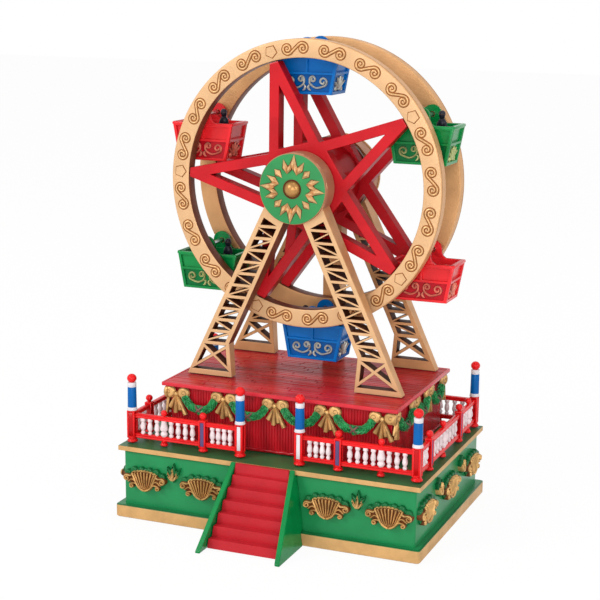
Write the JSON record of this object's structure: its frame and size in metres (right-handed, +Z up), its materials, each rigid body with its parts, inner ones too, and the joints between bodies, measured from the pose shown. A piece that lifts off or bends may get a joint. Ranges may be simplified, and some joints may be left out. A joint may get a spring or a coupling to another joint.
{
  "type": "ferris wheel music box",
  "caption": "Wind-up music box: a two-rim ferris wheel with hanging gondolas turns between two lattice A-frames on a fenced terrace with a stair.",
  "frame": {"origin": "middle of the underside of the base, on the bottom cover", "axes": "+X along the front to the right, +Y from the front to the back, +Z up; the wheel turns about Y"},
  "size_m": [0.1304, 0.1186, 0.1929],
  "materials": {
    "green_wall": "satin paint",
    "green_terrace": "satin paint",
    "green_leaf": "gloss paint",
    "gold": "aged gold paint",
    "satin_gold": "satin gold paint",
    "red_gloss": "gloss paint",
    "red_star": "gloss paint",
    "red_boards": "satin paint",
    "blue_gloss": "gloss paint",
    "steel": "ground",
    "brass": "satin",
    "black_plastic": "matt",
    "brown_plastic": "moulded"
  },
  "bodies": {
    "base": {"base_shell": "green_wall", "terrace_slab": "green_terrace", "left_stringer": "green_leaf", "right_stringer": "green_leaf", "front_hub_cap": "green_leaf", "garland_front": "gold", "garland_back": "gold", "garland_left": "gold", "garland_right": "gold", "front_frame": "satin_gold", "rear_frame": "satin_gold", "rear_hub_cap": "satin_gold", "drive_column": "satin_gold", "stair_steps": "red_gloss", "fence_front_left": "red_gloss", "fence_front_right": "red_gloss", "fence_left": "red_gloss", "fence_right": "red_gloss", "fence_back": "red_gloss", "house_shell": "red_boards", "roof_deck": "red_boards", "post_front_left": "blue_gloss", "post_front_right": "blue_gloss", "post_back_left": "blue_gloss", "post_back_right": "blue_gloss", "post_stair_left": "blue_gloss", "post_stair_right": "blue_gloss", "cover_screw_1": "steel", "cover_screw_2": "steel", "cover_screw_3": "steel", "cover_screw_4": "steel", "comb": "steel", "front_bush": "brass", "rear_bush": "brass", "movement_bedplate": "brass", "bottom_cover": "black_plastic"},
    "wheel": {"front_rim": "satin_gold", "rear_rim": "satin_gold", "front_star": "red_star", "rear_star": "red_star", "hub_drum": "red_star", "axle": "steel", "crown_gear": "brown_plastic", "gondola_rod_1": "steel", "gondola_rod_2": "steel", "gondola_rod_3": "steel", "gondola_rod_4": "steel", "gondola_rod_5": "steel", "gondola_rod_6": "steel"},
    "gondola_1": {"gondola_1": "blue_gloss"},
    "gondola_2": {"gondola_2": "red_gloss"},
    "gondola_3": {"gondola_3": "green_leaf"},
    "gondola_4": {"gondola_4": "blue_gloss"},
    "gondola_5": {"gondola_5": "red_gloss"},
    "gondola_6": {"gondola_6": "green_leaf"},
    "drive_shaft": {"drive_shaft": "steel"},
    "music_cylinder": {"music_cylinder": "brass"},
    "spring_barrel": {"spring_barrel": "brass"},
    "governor": {"governor": "brass"},
    "winding_key": {"winding_key": "brass"}
  },
  "joints": [
    {"name": "wheel_spin", "type": "hinge", "parent": "base", "child": "wheel", "pos_m": [0, 0.0093, 0.135], "axis": [0, 1, 0], "continuous": true},
    {"name": "gondola_1_swing", "type": "hinge", "parent": "wheel", "child": "gondola_1", "pos_m": [-0.00189, 0.0093, 0.18907], "axis": [0, 1, 0], "continuous": true},
    {"name": "gondola_2_swing", "type": "hinge", "parent": "wheel", "child": "gondola_2", "pos_m": [-0.04777, 0.0093, 0.1604], "axis": [0, 1, 0], "continuous": true},
    {"name": "gondola_3_swing", "type": "hinge", "parent": "wheel", "child": "gondola_3", "pos_m": [-0.04588, 0.0093, 0.10633], "axis": [0, 1, 0], "continuous": true},
    {"name": "gondola_4_swing", "type": "hinge", "parent": "wheel", "child": "gondola_4", "pos_m": [0.00189, 0.0093, 0.08093], "axis": [0, 1, 0], "continuous": true},
    {"name": "gondola_5_swing", "type": "hinge", "parent": "wheel", "child": "gondola_5", "pos_m": [0.04777, 0.0093, 0.1096], "axis": [0, 1, 0], "continuous": true},
    {"name": "gondola_6_swing", "type": "hinge", "parent": "wheel", "child": "gondola_6", "pos_m": [0.04588, 0.0093, 0.16367], "axis": [0, 1, 0], "continuous": true},
    {"name": "drive_shaft_spin", "type": "hinge", "parent": "base", "child": "drive_shaft", "pos_m": [0, 0.0316, 0.0156], "axis": [0, 0, 1], "continuous": true},
    {"name": "music_cylinder_spin", "type": "hinge", "parent": "base", "child": "music_cylinder", "pos_m": [0, 0.0316, 0.0156], "axis": [1, 0, 0], "continuous": true},
    {"name": "spring_barrel_spin", "type": "hinge", "parent": "base", "child": "spring_barrel", "pos_m": [-0.01489, 0.02505, 0.0156], "axis": [0, 1, 0], "continuous": true},
    {"name": "governor_spin", "type": "hinge", "parent": "base", "child": "governor", "pos_m": [0.0303, 0.0255, 0.0156], "axis": [0, 0, 1], "continuous": true},
    {"name": "winding_key_turn", "type": "hinge", "parent": "base", "child": "winding_key", "pos_m": [-0.01489, 0.0421, 0.0156], "axis": [0, 1, 0], "continuous": true}
  ],
  "couplings": [
    {"joint": "gondola_1_swing", "follows": "wheel_spin", "ratio": -1},
    {"joint": "gondola_2_swing", "follows": "wheel_spin", "ratio": -1},
    {"joint": "gondola_3_swing", "follows": "wheel_spin", "ratio": -1},
    {"joint": "gondola_4_swing", "follows": "wheel_spin", "ratio": -1},
    {"joint": "gondola_5_swing", "follows": "wheel_spin", "ratio": -1},
    {"joint": "gondola_6_swing", "follows": "wheel_spin", "ratio": -1},
    {"joint": "drive_shaft_spin", "follows": "wheel_spin", "ratio": -4},
    {"joint": "music_cylinder_spin", "follows": "wheel_spin", "ratio": 2},
    {"joint": "spring_barrel_spin", "follows": "wheel_spin", "ratio": 1.1429},
    {"joint": "governor_spin", "follows": "wheel_spin", "ratio": 40}
  ]
}
